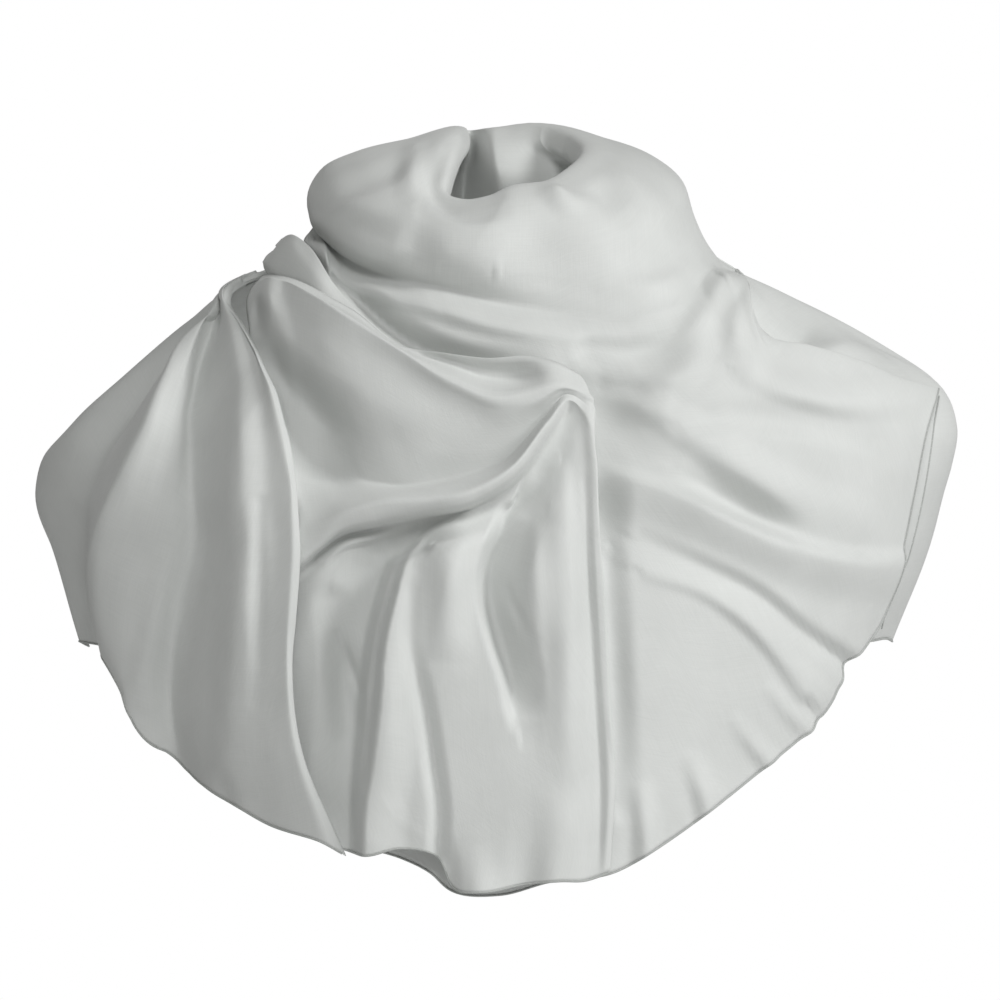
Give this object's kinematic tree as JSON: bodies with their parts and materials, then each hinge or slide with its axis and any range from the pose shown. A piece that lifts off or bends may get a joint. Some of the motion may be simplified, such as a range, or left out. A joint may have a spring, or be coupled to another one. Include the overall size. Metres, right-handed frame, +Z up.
{
  "type": "silk chiffon scarf",
  "caption": "Plain sheer silk chiffon scarf, wound round the neck as a soft cowl and spread in folds over both shoulders, with a fine rolled hem",
  "frame": {"origin": "centre of the neck's base, where the wearer's neck and shoulders hold the scarf", "axes": "+X to the viewer's right as seen from the front, +Y to the wearer's back, +Z up"},
  "size_m": [0.5169, 0.3128, 0.4326],
  "materials": {
    "silk_chiffon": "sheer, matte with a soft silk sheen"
  },
  "bodies": {
    "root": {"cowl": "silk_chiffon", "right_front": "silk_chiffon", "right_under_layer": "silk_chiffon", "back_panel": "silk_chiffon", "shoulder_tuck": "silk_chiffon", "swag": "silk_chiffon", "centre_fall": "silk_chiffon", "left_fall": "silk_chiffon"}
  },
  "joints": []
}
